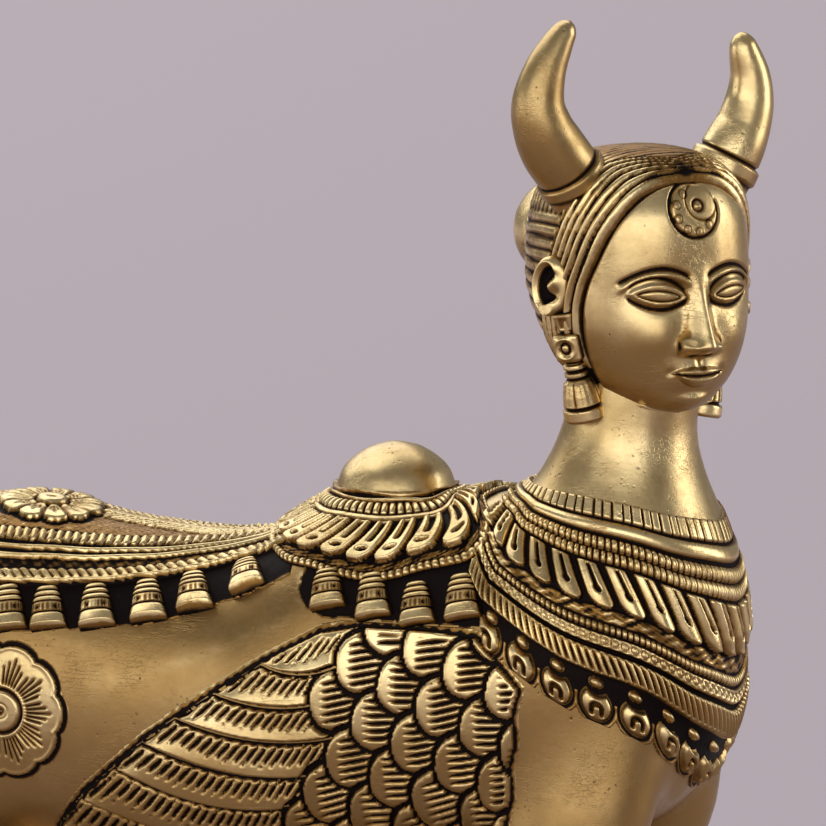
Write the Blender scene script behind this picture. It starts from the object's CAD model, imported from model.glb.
import math

import bpy
import numpy as np
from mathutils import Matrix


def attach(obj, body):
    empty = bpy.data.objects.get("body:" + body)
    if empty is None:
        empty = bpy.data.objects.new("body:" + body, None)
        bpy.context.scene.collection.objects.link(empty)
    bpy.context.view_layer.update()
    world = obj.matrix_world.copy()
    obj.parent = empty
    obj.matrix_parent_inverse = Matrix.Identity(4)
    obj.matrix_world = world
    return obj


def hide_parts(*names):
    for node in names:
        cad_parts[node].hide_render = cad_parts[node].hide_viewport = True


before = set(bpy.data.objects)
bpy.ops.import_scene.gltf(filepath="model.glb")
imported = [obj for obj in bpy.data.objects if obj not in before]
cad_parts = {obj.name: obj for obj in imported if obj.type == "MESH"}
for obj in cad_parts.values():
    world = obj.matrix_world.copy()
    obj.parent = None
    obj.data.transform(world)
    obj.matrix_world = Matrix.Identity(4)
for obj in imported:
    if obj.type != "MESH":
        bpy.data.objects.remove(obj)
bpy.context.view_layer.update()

import openvdb
from mathutils import Vector

# All shapes below are in mm. Heights are above the plinth's top, which lies this far above the floor.
LIFT = 12.0
MM = 0.001
FINE = 1.0


# Helpers for numbers, and for lines and grids of points


def finely(count):
    return int(count * FINE)


def soft(low, high, value):
    """0 below low, 1 above high, smooth between them."""
    share = np.clip((value - low) / (high - low), 0, 1)
    return share * share * (3 - 2 * share)


def bump(value, centre, width):
    """1 at the centre, and about a third at one width from it."""
    return np.exp(-(((value - centre) / width) ** 2))


def low_blend(first, second, width):
    """The lower of two fields, with a fillet of this width between them."""
    share = np.clip(0.5 + 0.5 * (second - first) / width, 0, 1)
    return second + (first - second) * share - width * share * (1 - share)


def curve(a, b, c, d, t):
    """A smooth curve from b to c at the share t, with a before them and d after them."""
    return 0.5 * (2 * b + (c - a) * t + (2 * a - 5 * b + 4 * c - d) * t**2 + (3 * b - a - 3 * c + d) * t**3)


def smooth_rows(rows, steps=12):
    """A smooth run of rows through the given rows of numbers."""
    rows = np.array(rows, float)
    padded = np.vstack([2 * rows[0] - rows[1], rows, 2 * rows[-1] - rows[-2]])
    t = np.linspace(0, 1, steps, endpoint=False)[:, None]
    return np.vstack([curve(*padded[n : n + 4], t) for n in range(len(rows) - 1)] + [rows[-1:]])


def read_by_first(rows):
    """A function that reads the smooth rows' other numbers at a value of the first."""
    run = smooth_rows(rows)
    run = run[np.argsort(run[:, 0], kind="stable")]
    return lambda at: [np.interp(at, run[:, 0], run[:, k]) for k in range(1, run.shape[1])]


def rows_near(at, count):
    """For broken row numbers, the whole rows before, at and after each, and the share between them."""
    at = np.clip(at, 0, count - 1)
    base = np.minimum(at.astype(int), count - 2)
    return [np.clip(base + k, 0, count - 1) for k in (-1, 0, 1, 2)], at - base


def resample(grid, at, axis):
    """Reads a grid of points along one axis at broken row numbers."""
    grid = np.moveaxis(grid, axis, 0)
    rows, t = rows_near(at, len(grid))
    t = t.reshape((-1,) + (1,) * (grid.ndim - 1))
    return np.moveaxis(curve(*(grid[row] for row in rows), t), 0, axis)


def read_columns(grid, at):
    """Reads each column of a grid of points at its own broken row numbers."""
    rows, t = rows_near(at, len(grid))
    return curve(*(np.take_along_axis(grid, row[..., None], axis=0) for row in rows), t[..., None])


def run_lengths(points, axis=0):
    """How far along the lines of points each point lies."""
    steps = np.linalg.norm(np.diff(points, axis=axis), axis=-1)
    first = np.zeros_like(np.take(steps, [0], axis=axis))
    return np.concatenate([first, np.cumsum(steps, axis=axis)], axis=axis)


def read_lengths(points, gone, want):
    """Reads each column of points where its length reaches what is wanted."""
    numbers = np.arange(len(points))
    at = [np.interp(want[:, j], gone[:, j], numbers) for j in range(points.shape[1])]
    return read_columns(points, np.stack(at, axis=1))


def even_line(line, count, place=3):
    """Cuts a line into even steps: how far along each lies, and each of the line's columns there."""
    gone = run_lengths(line[:, :place])
    steps = np.linspace(0, gone[-1], count)
    return steps, [np.interp(steps, gone, column) for column in line.T]


def full_turn(count):
    return np.linspace(0, 2 * np.pi, count, endpoint=False)


def disc_grid(rows, columns, start=0.0):
    """The share of the way out and the turn, at each point of a disc."""
    return np.meshgrid(np.linspace(start, 1, rows), full_turn(columns), indexing="ij")


def blurred(grid, cells):
    """A grid of numbers smoothed over this many cells each way."""
    reach = max(1, int(round(cells)))
    span = 2 * reach + 1
    for axis in (0, 0, 1, 1):
        pad = [(0, 0), (0, 0)]
        pad[axis] = (reach, reach)
        total = np.cumsum(np.insert(np.pad(grid, pad, mode="edge"), 0, 0, axis=axis), axis=axis)
        size = total.shape[axis]
        upto = np.take(total, range(span, size), axis=axis)
        before = np.take(total, range(size - span), axis=axis)
        grid = (upto - before) / span
    return grid


def unit(vectors):
    return vectors / np.maximum(np.linalg.norm(vectors, axis=-1, keepdims=True), 1e-9)


# Fields: a distance-like number on a grid of points, negative inside the metal
FAR = 25
REACH, STRIDE = 80, 1.2
SMOOTHING = (0.5, -0.52) * 9


class Field:
    def __init__(self, low, high, step):
        self.low = np.array(low, float)
        self.step = step
        axes = [np.arange(a, b + step, step) for a, b in zip(low, high)]
        self.x, self.y, self.z = np.meshgrid(*axes, indexing="ij", sparse=True)
        self.shape = tuple(len(a) for a in axes)
        self.value = self.slopes = None

    def even(self, level):
        """Turns a level into roughly mm from where it is zero, up to FAR."""
        level = np.broadcast_to(level, self.shape).astype(np.float32)
        slope = np.sqrt(sum(g * g for g in np.gradient(level, self.step)))
        return np.clip(level / np.maximum(slope, 1e-4), -FAR, FAR)

    def add(self, distance, width):
        self.value = distance if self.value is None else low_blend(self.value, distance, width)

    def oval(self, across, along, centre_across, centre_along, half_across, half_along, power=2.0):
        ring = np.abs((across - centre_across) / half_across) ** power
        ring = ring + np.abs((along - centre_along) / half_along) ** power
        return self.even((ring ** (1 / power) - 1) * np.minimum(half_across, half_along))

    def sample(self, points, grids=None):
        """The field, or other grids, at any points."""
        grids = [self.value] if grids is None else grids
        at = (points - self.low) / self.step
        cell = np.clip(at.astype(int), 0, np.array(self.shape) - 2)
        t = np.clip(at - cell, 0, 1)
        i, j, k = np.moveaxis(cell, -1, 0)
        weights = (1 - t, t)
        out = [0.0] * len(grids)
        for di, dj, dk in np.ndindex(2, 2, 2):
            weight = weights[di][..., 0] * weights[dj][..., 1] * weights[dk][..., 2]
            for n, grid in enumerate(grids):
                out[n] = out[n] + weight * grid[i + di, j + dj, k + dk]
        return out

    def normals(self, points):
        if self.slopes is None:
            self.slopes = np.gradient(self.value, self.step)
        return unit(np.stack(self.sample(points, self.slopes), axis=-1))

    def outward(self, start, direction):
        """The first points where rays from inside the metal come out of it."""
        start, direction = np.broadcast_arrays(start, direction)
        far = np.full(start.shape[:-1], float(REACH))
        found = np.zeros(start.shape[:-1], bool)
        last = self.sample(start)[0]
        for n in range(1, int(REACH / STRIDE) + 1):
            now = self.sample(start + direction * (n * STRIDE))[0]
            hit = (~found) & (last < 0) & (now >= 0)
            share = last / np.where(last - now == 0, 1, last - now)
            far = np.where(hit, (n - 1 + share) * STRIDE, far)
            found |= hit
            last = now
        return start + direction * far[..., None]

    def skin(self):
        """The surface as points and four-sided faces."""
        grid = openvdb.FloatGrid(background=10.0)
        grid.copyFromArray(np.ascontiguousarray(self.value, dtype=np.float32))
        points, _, quads = grid.convertToPolygons(isovalue=0.0, adaptivity=0.0)
        points = self.low + np.array(points, float) * self.step
        quads = np.array(quads)[:, ::-1]
        ends = [(quads[:, a], quads[:, b]) for a, b in ((0, 1), (1, 2), (2, 3), (3, 0))]
        ends += [(second, first) for first, second in ends]
        # Points are drawn to their neighbours' mean and pushed back again by turns, so nothing shrinks
        for weight in SMOOTHING:
            total = np.zeros_like(points)
            count = np.zeros(len(points))
            for first, second in ends:
                for k in range(3):
                    total[:, k] += np.bincount(first, points[second, k], len(points))
                count += np.bincount(first, minlength=len(points))
            points = points + weight * (total / count[:, None] - points)
        return points, quads


# The body. Columns: place along it, top, foot, half width.

BODY_STATIONS = [
    [-117, 152, 151, 0.5], [-115.5, 163, 137, 14], [-110, 173, 126, 24], [-101, 181, 113, 32],
    [-86, 185, 101, 39.5], [-68, 185.5, 95.5, 42.5], [-48, 181.5, 93, 43], [-25, 179, 92, 42.5],
    [-8, 180, 92, 42], [2, 184.5, 93, 42], [12, 190, 94, 42], [24, 192, 95, 42], [42, 192.5, 98, 42.5],
    [58, 193.5, 101, 42.5], [74, 195, 104, 41.5], [87, 194, 107, 39], [97, 191.5, 111, 35],
    [105, 187, 117.5, 29.5], [111, 180, 125, 23], [115, 171, 133, 16], [117, 162, 140, 9],
    [117.6, 152, 151, 0.5],
]
# Columns: height, middle along and across, half length, half width. The legs lie on both sides.
NECK = [
    [160, 84, 0, 34, 34], [173, 83, 0, 34.6, 34], [185, 84, 0, 31, 29.5], [193, 86.3, 0, 25.6, 25],
    [201, 87.8, 0, 21, 21], [211, 89.3, 0, 17.6, 17.6], [226, 92, 0, 16, 16], [233, 94, 0, 13, 13],
]
HUMP_X = 26
HUMP = [
    [height, HUMP_X, 0, long, wide]
    for height, long, wide in (
        (172, 34, 32), (178, 31.5, 30), (183, 27.6, 27), (187, 23, 23), (190.2, 18.6, 18.8),
        (192.6, 15.9, 15.9), (195.5, 15, 15), (198.3, 13.8, 13.8), (200.9, 11.4, 11.4), (203.4, 7.6, 7.6),
        (205.2, 3.9, 3.9), (206, 0.4, 0.4),
    )
]
FRONT_LEG = [
    [-1.5, 81.5, 28, 9.8, 9.4], [9, 80.7, 28, 9.4, 9.2], [14, 80, 28, 10, 9.8], [24, 79.5, 28, 8, 8.2],
    [39, 79, 28, 8.8, 8.8], [49, 79.5, 28, 11, 10.5], [58, 79, 28, 10.4, 10.3], [73, 79.5, 28, 11.5, 11],
    [93, 81, 27.5, 15.5, 13], [113, 83, 26, 21, 15], [136, 83, 22, 23, 14], [150, 82, 16, 16, 8],
]
HIND_LEG = [
    [-1.5, -94, 28, 9.8, 9.4], [9, -95.8, 28, 9.4, 9.2], [15, -96.5, 28, 10, 9.8], [26, -97.5, 28, 8.2, 8.5],
    [43, -100, 28, 8.8, 9], [59, -103, 28, 10.4, 10], [69, -103, 28, 11, 10.5], [84, -98, 28, 14, 12.5],
    [103, -92, 27, 20, 15], [123, -88, 25, 25, 16.5], [144, -84, 21, 26, 16], [160, -80, 14, 18, 9],
]

body = Field((-127, -52, -6), (127, 52, 236), 2.0)
tops, bottoms, halves = read_by_first(BODY_STATIONS)(body.x)
trunk = body.oval(body.y, body.z, 0, (tops + bottoms) / 2, halves, (tops - bottoms) / 2, 2.2)
TRUNK_MIDDLE, TRUNK_HALF = 0.3, 117.4
body.add(np.maximum(trunk, np.abs(body.x - TRUNK_MIDDLE) - TRUNK_HALF), 0)
for stations, blend in ((FRONT_LEG, 7), (HIND_LEG, 9), (NECK, 5), (HUMP, 2)):
    x, y, long, wide = read_by_first(stations)(body.z)
    column = body.oval(body.x, np.abs(body.y), x, y, long, wide)
    body.add(np.maximum(np.maximum(column, body.z - stations[-1][0]), stations[0][0] - body.z), blend)

# The head's own frame: forward, to its left, and up. It is turned to the figure's right.
HEAD_X = 95
HEAD_TURN = math.radians(-40)


def from_head(forward, left, height):
    cos, sin = math.cos(HEAD_TURN), math.sin(HEAD_TURN)
    forward, left, height = np.broadcast_arrays(forward, left, height)
    return np.stack([HEAD_X + forward * cos - left * sin, forward * sin + left * cos, height * 1.0], axis=-1)


def head_way(forward, left, up):
    """A direction in the head's frame."""
    return from_head(forward, left, up) - from_head(0.0, 0.0, 0.0)


# The metal: two tones where it is bright, brown round the dark, and black patina
BRIGHT_BRASS, DULL_BRASS = (0.92, 0.72, 0.37, 1), (0.84, 0.63, 0.29, 1)
BROWN_TONE, PATINA = (0.26, 0.135, 0.034, 1), (0.014, 0.010, 0.009, 1)


def brass_material():
    material = bpy.data.materials.new("antique_brass")
    material.use_nodes = True
    nodes, links = material.node_tree.nodes, material.node_tree.links
    nodes.clear()

    def node(kind, inputs=(), output=0, **settings):
        """A new node with its settings, and each input's number or what feeds it. Gives one output."""
        made = nodes.new("ShaderNode" + kind)
        for name, value in settings.items():
            setattr(made, name, value)
        for name, value in dict(inputs).items():
            if isinstance(value, bpy.types.NodeSocket):
                links.new(value, made.inputs[name])
            else:
                made.inputs[name].default_value = value
        return made.outputs[output]

    def calc(operation, a, b, clamp=False):
        return node("Math", {0: a, 1: b}, operation=operation, use_clamp=clamp)

    def times(a, b):
        return calc("MULTIPLY", a, b)

    def off_middle(value):
        return calc("SUBTRACT", value, 0.5)

    def summed(total, *terms, clamp=False):
        """The total, with each term's value times its share added."""
        for value, share in terms:
            total = calc("ADD", total, times(value, share), clamp)
        return total

    def span(value, low, high, to_low=0.0, to_high=1.0):
        inputs = {"Value": value, "From Min": low, "From Max": high, "To Min": to_low, "To Max": to_high}
        return node("MapRange", inputs, "Result", interpolation_type="SMOOTHSTEP")

    def mix(factor, first, second):
        return node("Mix", {"Factor": factor, 6: first, 7: second}, 2, data_type="RGBA")

    place = node("TexCoord", output="Object")

    def noise(scale, detail, source=place):
        return node("TexNoise", {"Vector": source, "Scale": scale, "Detail": detail, "Roughness": 0.6}, "Fac")

    grime = node("Attribute", output="Fac", attribute_name="grime")
    stained = node("Attribute", output="Fac", attribute_name="stain")
    clouds, grain, speckle, mottle = noise(45, 5), noise(900, 3), noise(260, 6), noise(120, 6)
    # Fine scratches run two ways, each as thin lines cut from a stretched noise.
    lines = []
    for stretch, turn in (((1, 9, 9), (0.3, 0.5, 0.2)), ((9, 1, 8), (0.7, 0.1, 0.9))):
        run = noise(70, 1.5, node("Mapping", {"Vector": place, "Scale": stretch, "Rotation": turn}))
        lines.append(span(calc("ABSOLUTE", off_middle(run), 0.0), 0.0, 0.022, 1.0, 0.0))
    scratch = times(calc("MAXIMUM", *lines), span(noise(60, 3), 0.45, 0.65))
    # Casting pits, large and small, are the middles of scattered cells.
    spots = []
    for scale, size in ((330, 0.2), (620, 0.24)):
        cells = node("TexVoronoi", {"Vector": place, "Scale": scale}, "Distance")
        spots.append(times(span(cells, 0.06, size, 1.0, 0.0), span(noise(scale / 5, 4), 0.54, 0.72)))
    pits = calc("MAXIMUM", *spots)

    # Dark only where the grime is thick; a brown halo round it, and faint clouds over the open metal
    edge = summed(grime, (off_middle(speckle), 0.5))
    dark = calc("MAXIMUM", span(edge, 0.5, 0.85), times(pits, 0.8))
    faint = (span(clouds, 0.42, 0.72), 0.25), (scratch, 0.45), (span(mottle, 0.5, 0.72), 0.3)
    brown = summed(span(edge, 0.06, 0.45), *faint, clamp=True)
    patchy = times(span(summed(stained, (off_middle(clouds), 0.9)), 0.0, 1.0), 0.85)
    brown = calc("MAXIMUM", brown, times(patchy, span(stained, 0.0, 0.12)))
    bright = mix(span(clouds, 0.3, 0.7), BRIGHT_BRASS, DULL_BRASS)
    colour = mix(dark, mix(brown, bright, BROWN_TONE), PATINA)

    rough = summed(0.21, (grain, 0.16), (brown, 0.1), (dark, 0.25), (off_middle(mottle), 0.2))
    fine = (grain, 0.18), (scratch, -0.3), (pits, -1.2), (times(speckle, grime), 0.8)
    uneven = summed(times(speckle, 0.5), *fine)
    relief = node("Bump", {"Strength": 0.42, "Distance": 0.0003, "Height": uneven}, "Normal")
    inputs = {"Base Color": colour, "Metallic": 1.0, "Roughness": rough, "Normal": relief}
    links.new(node("BsdfPrincipled", inputs), nodes.new("ShaderNodeOutputMaterial").inputs["Surface"])
    return material


BRASS = brass_material()
SIDES = ((-1, "right"), (1, "left"))


def piece(name, parts, stain=0.0):
    """Makes one piece of the statue. Each part has points, four-sided faces, and the grime at each point."""
    starts = np.cumsum([0] + [len(part[0]) for part in parts])
    faces = np.concatenate([part[1] + start for part, start in zip(parts, starts)])
    points, grime = (np.concatenate([part[k] for part in parts]) for k in (0, 2))
    mesh = bpy.data.meshes.new(name)
    mesh.vertices.add(len(points))
    mesh.vertices.foreach_set("co", ((points + np.array([0, 0, LIFT])) * MM).astype(np.float32).ravel())
    mesh.loops.add(faces.size)
    mesh.loops.foreach_set("vertex_index", faces.ravel().astype(np.int32))
    mesh.polygons.add(len(faces))
    mesh.polygons.foreach_set("loop_start", np.arange(0, faces.size, 4, dtype=np.int32))
    mesh.polygons.foreach_set("use_smooth", np.ones(len(faces), bool))
    mesh.update(calc_edges=True)
    facing = np.zeros(3 * len(points), np.float32)
    mesh.vertex_normals.foreach_get("vector", facing)
    # Faces that look down, and the lower half of the cow, have gone brown
    under = 0.95 * soft(0.2, -0.6, facing[2::3]) + 0.75 * soft(168, 108, points[:, 2])
    for layer, value in (("grime", grime), ("stain", stain + under)):
        data = mesh.attributes.new(layer, "FLOAT", "POINT").data
        data.foreach_set("value", np.clip(value, 0, 1).astype(np.float32))
    mesh.materials.append(BRASS)
    made = bpy.data.objects.new(name, mesh)
    bpy.context.scene.collection.objects.link(made)
    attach(made, "root")
    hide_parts("statue")


def grid_faces(rows, columns, wrap_columns=False, wrap_rows=False):
    """Four-sided faces between the points of a grid, closed round where it wraps."""
    i = np.arange(rows if wrap_rows else rows - 1)
    j = np.arange(columns if wrap_columns else columns - 1)
    i, j = np.meshgrid(i, j, indexing="ij")
    a, b = i * columns + j, i * columns + (j + 1) % columns
    c, d = ((i + 1) % rows) * columns + (j + 1) % columns, ((i + 1) % rows) * columns + j
    return np.stack([a, b, c, d], axis=-1).reshape(-1, 4)


def outward_faces(points, faces, outside):
    """Turns the faces so that they look the way that the outside vectors do."""
    middle = len(faces) // 2
    sample = faces[max(0, middle - 200) : middle + 200]
    a, b, d = (points[sample[:, k]] for k in (0, 1, 3))
    looks = np.einsum("ij,ij->i", np.cross(b - a, d - a), outside[sample[:, 0]])
    return faces if np.sum(np.sign(looks)) >= 0 else faces[:, ::-1]


def grid_part(points, outside, grime, wrap_columns=False, wrap_rows=False):
    """A part made of a grid of points, its faces turned the way that the outside vectors look."""
    flat = points.reshape(-1, 3)
    outside = np.broadcast_to(outside, points.shape).reshape(-1, 3)
    faces = outward_faces(flat, grid_faces(*points.shape[:2], wrap_columns, wrap_rows), outside)
    return flat, faces, np.broadcast_to(grime, points.shape[:2]).reshape(-1)


SHEET_EDGE_DEPTH = 2.2


def sheet(name, points, normals, height, grime, wrap=False):
    """A patch of relief that lies on the metal, its edges let into it."""
    edge = np.zeros(height.shape, bool)
    edge[0] = edge[-1] = True
    if not wrap:
        edge[:, 0] = edge[:, -1] = True
    points = points + normals * (height - SHEET_EDGE_DEPTH * edge)[..., None]
    piece(name, [grid_part(points, normals, grime, wrap)])


def recess(height, cells, gain):
    """Grime that gathers where the relief lies below what is round it."""
    return np.clip((blurred(height, cells) - height) * gain, 0, 1)


# Camera at the photograph's angle. It aims at a place right of and above a point on the cow's middle line.
AZIMUTH = math.radians(20)
ELEVATION = math.radians(8)
right = Vector((math.cos(AZIMUTH), math.sin(AZIMUTH), 0))
level = math.cos(ELEVATION)
back = Vector((math.sin(AZIMUTH) * level, -math.cos(AZIMUTH) * level, math.sin(ELEVATION)))
up = back.cross(right)
AIM_X, AIM_RIGHT, AIM_UP = 8, 21.2, 221.5
target = Vector((AIM_X, 0, 0)) + right * AIM_RIGHT + up * AIM_UP
SENSOR_WIDTH = 36
DISTANCE = 4500
PICTURE_WIDTH = 211.5
PICTURE_DEPTH = 55
camera_data = bpy.data.cameras.new("camera")
camera_data.lens = SENSOR_WIDTH * (DISTANCE - PICTURE_DEPTH) / PICTURE_WIDTH
camera_data.clip_start, camera_data.clip_end = 0.1, 100
camera = bpy.data.objects.new("camera", camera_data)
camera.location = (target + back * DISTANCE) * MM
camera.rotation_mode = "QUATERNION"
camera.rotation_quaternion = back.to_track_quat("Z", "Y")
bpy.context.scene.collection.objects.link(camera)
bpy.context.scene.camera = camera

# Head: face and skull in the head's frame, from chin to crown. Columns: height, front, back, half width.
HEAD_STATIONS = [
    [217.6, 13.5, -13, 0.4], [219.6, 18.5, -5, 10.5], [224.5, 21.5, 8, 17.2], [231, 23.3, 15, 21.4],
    [239, 24, 19, 23.8], [248, 24.3, 21, 24.5], [258, 24.3, 22, 24.3], [267, 23.6, 21, 23.3],
    [273, 21.6, 18, 21.0], [277.5, 18.3, 14, 17], [280.4, 12.5, 8, 11], [282.2, 0, 0, 0.5],
]
HAIR_CENTRE = (-3.5, 253.5)
HAIR_SIZE = (29.5, 27.0, 29.6)
BUN_HEIGHT = 259.0
# Where the hair ends on the brow and temple: height, and how far forward
hairline_at = read_by_first([
    [215, 3], [225, 3.5], [242, 5], [250, 7], [258, 10.7], [266, 14], [272, 16.2], [279, 17.6], [290, 18.5],
])


def hairline(height):
    return hairline_at(height)[0]


# Swells and hollows of the face. Columns: rise, then middle and width across, then middle and width up.
FACE_SWELLS = [
    # Sockets, cheeks, chin, the mouth's swell and the dip under it
    [-1.9, 10.2, 7.2, 249.2, 4.0], [1.5, 11.5, 6, 238.5, 6], [1.8, 0, 5.6, 221.6, 3.2],
    [2.0, 0, 8.5, 228.4, 5.0], [-1.0, 0, 4.6, 224.1, 1.3],
    # The nose's wings, the groove under it, and the corners of the mouth
    [2.7, 4.0, 1.5, 236.1, 1.6], [-0.6, 0, 0.9, 231.9, 1.3], [-0.6, 7.5, 0.9, 229.4, 0.9],
]
# Grime beside the nose's wings, in the nostrils and at the eyes' inner corners, in the same columns
FACE_SHADES = [[0.9, 6.0, 0.55, 236.2, 1.9], [0.8, 2.2, 1.1, 233.9, 0.5], [0.6, 3.6, 0.8, 248.6, 1.6]]
# The nose's ridge: height, and how far it stands forward
NOSE_RIDGE = [
    [232.6, 0], [233.6, 0.5], [234.5, 4.2], [235.6, 6.9], [237, 7.4], [240, 6.1], [245, 3.9], [250, 2.1],
    [254, 0.8], [258, 0],
]
BROW_TOP, EYE_SIDE, EYE_HEIGHT, MOUTH_HEIGHT = 256.2, 10.5, 249.2, 228.5
CRESCENT_HEIGHT, CRESCENT_RADIUS = 270.6, 6.9


def arch(off, power):
    """1 in the middle, and down to 0 where off is 1."""
    return np.clip(1 - off**2, 0, 1) ** power


def face_relief(side, height):
    """How far the face's features stand forward of the plain head, and the grime in its lines."""
    far = np.abs(side)
    rise, lines = (
        sum(most * bump(far, across, wide) * bump(height, up, tall) for most, across, wide, up, tall in rows)
        for rows in (FACE_SWELLS, FACE_SHADES)
    )
    wide = np.interp(height, [233, 234.6, 236.6, 240, 245, 252], [3.0, 3.3, 3.3, 2.6, 2.1, 2.4])
    stand = read_by_first(NOSE_RIDGE)(height)[0]
    on_nose = (height >= NOSE_RIDGE[0][0]) & (height <= NOSE_RIDGE[-1][0])
    rise += on_nose * stand * np.exp(-((far / (1.2 * wide)) ** 2.3))

    # Brows: an incised arch with a rounded fold under it
    brow = BROW_TOP - 3.3 * ((far - 9.8) / 8.6) ** 2
    on_brow = soft(2.2, 3.4, far) * soft(19.8, 18.4, far)
    cut = bump(height, brow, 0.55) * on_brow
    rise += 0.8 * bump(height, brow - 1.7, 0.9) * on_brow - 0.9 * cut
    lines += 1.1 * cut

    # Eyes: an almond ball between two raised lids, a fold above, and the opening cut as a smaller almond
    off = far - EYE_SIDE
    t = np.clip(off / 6.8, -1, 1)
    level = EYE_HEIGHT + 0.07 * off
    inside = soft(7.2, 6.4, np.abs(off))
    top, foot = level + 3.1 * arch(t, 0.8), level - 2.4 * arch(t, 0.9)
    half = np.maximum((top - foot) / 2, 0.25)
    rise += 2.4 * arch((height - (top + foot) / 2) / half, 0.5) * arch(t, 0.5) * inside
    rise += 0.75 * (bump(height, top, 0.5) + bump(height, foot, 0.45)) * inside
    fold = bump(height, top + 1.55, 0.5) * inside
    under = bump(height, foot - 1.15, 0.45) * inside
    opening = t / 0.78
    slit_top, slit_foot = level + 1.45 * arch(opening, 0.8), level - 1.25 * arch(opening, 0.9)
    slit = np.maximum(bump(height, slit_top, 0.3), bump(height, slit_foot, 0.28))
    slit = slit * soft(0.84, 0.74, np.abs(t))
    rise -= 0.9 * fold + 0.7 * under + 0.5 * slit
    lines += fold + under + 1.1 * slit

    # Lips, closed, with slightly lifted corners
    x = np.clip(far / 6.8, 0, 1)
    seam = MOUTH_HEIGHT + 0.8 * x * x
    in_mouth = soft(7.1, 6.5, far)
    upper = 2.1 * arch(x, 0.8) * (1 - 0.22 * bump(far, 0, 1.1))
    lower = 2.7 * arch(far / 6.0, 0.8)
    for lip, way, swell in ((upper, 1, 1.5), (lower, -1, 1.8)):
        rise += swell * arch((height - seam - way * lip / 2) / (lip / 2 + 0.2), 0.6) * in_mouth
    part_line = bump(height, seam, 0.33) * in_mouth
    rise -= 0.9 * part_line
    lines += 1.1 * part_line + 0.35 * bump(height, seam - lower - 0.35, 0.4) * soft(5.5, 4, far)

    # Forehead ornament: a crescent open to the upper right, with small rings in it and a ringed dot
    u, v = side + 0.2, height - CRESCENT_HEIGHT
    outer = np.hypot(u, v)
    to_opening = np.cos(np.arctan2(v - 0.9, u - 0.9) - math.radians(45))
    line = bump(outer, CRESCENT_RADIUS, 0.42) * soft(0.95, 0.75, to_opening)
    inner = bump(np.hypot(u - 2.1, v - 2.0), 4.5, 0.3) * soft(0.75, 0.45, to_opening)
    rise += 0.35 * soft(7.0, 6.4, outer) - 0.8 * line - 0.35 * inner
    lines += 1.25 * line + 0.8 * inner
    for n in range(6):
        a = math.radians(118 + 40 * n)
        ring = np.hypot(u - 5.05 * math.cos(a) + 0.25, v - 5.05 * math.sin(a) + 0.25)
        lines += 0.6 * bump(ring, 1.05, 0.24)
        rise += 0.3 * bump(ring, 0, 0.8)
    dot = np.hypot(u - 0.9, v - 1.2)
    dot_ring = bump(dot, 1.45, 0.4)
    return rise + 0.7 * bump(dot, 0, 0.7) - 0.4 * dot_ring, lines + dot_ring


def head():
    rows, columns = finely(205), finely(172)
    climb = np.linspace(0, 1, rows)
    chin, crown = HEAD_STATIONS[0][0], HEAD_STATIONS[-1][0]
    height = chin + (crown - chin) * (climb - 0.1 * np.sin(2 * np.pi * climb) / (2 * np.pi))
    height[0], height[-1] = chin + 0.02, crown - 0.02
    turn = np.radians(np.linspace(-104, 104, columns))
    z, a = np.meshgrid(height, turn - 0.16 * np.sin(2 * turn), indexing="ij")
    front, rear, half = read_by_first(HEAD_STATIONS)(z)
    cos, power = np.cos(a), 2 / 2.25
    side = half * np.sign(np.sin(a)) * np.abs(np.sin(a)) ** power
    forward = np.where(cos >= 0, front * np.abs(cos) ** power, -np.maximum(rear, -12) * np.abs(cos))
    forward = np.where(z < 220, np.maximum(forward, 13), forward)
    rise, lines = face_relief(side, z)
    facing = soft(-0.1, 0.45, cos)
    behind = forward - hairline(z)
    groove = bump(behind, 0.4, 0.6)
    points = from_head(forward + rise * facing, side, z)
    normals = unit(np.cross(np.gradient(points, axis=1), np.gradient(points, axis=0)))
    points = points - normals * (0.9 * groove)[..., None]
    grime = lines * facing + 1.1 * groove + 0.5 * soft(0.25, 0.9, blurred(rise, 4) - rise)
    # Patina left along the jaw, in front of the ear and earring
    grime = grime + 0.75 * soft(4.0, 0.8, behind) * soft(248, 240, z)
    piece("head", [grid_part(points, points - from_head(0.0, 0.0, 250.0), grime)], 0.4)


head()


def egg(polar, around):
    """The hair's mass in the head's frame: a squarish egg, its back drawn in below the bun."""
    polar, around = np.broadcast_arrays(polar, around)
    (middle, height), (deep, wide, tall) = HAIR_CENTRE, HAIR_SIZE
    parts = np.stack([-np.cos(polar), np.sin(polar) * np.cos(around), np.sin(polar) * np.sin(around)])
    level = (np.abs(parts[:2]) ** 2.4).sum(axis=0) ** (1 / 2.4)
    parts = parts * (level**3 + np.abs(parts[2]) ** 3) ** (-1 / 3)
    z = height + tall * parts[2]
    f = deep * parts[0]
    f = middle + np.where(f < 0, f * (1 - 0.45 * soft(252, 232, z)), f)
    # Narrower on the figure's left, and drawn in to the head along the hairline
    l = wide * parts[1] * np.where(parts[1] > 0, 0.91, 1)
    return f, l * (1 - 0.04 * soft(5, 0, hairline(z) - f)), z


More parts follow.
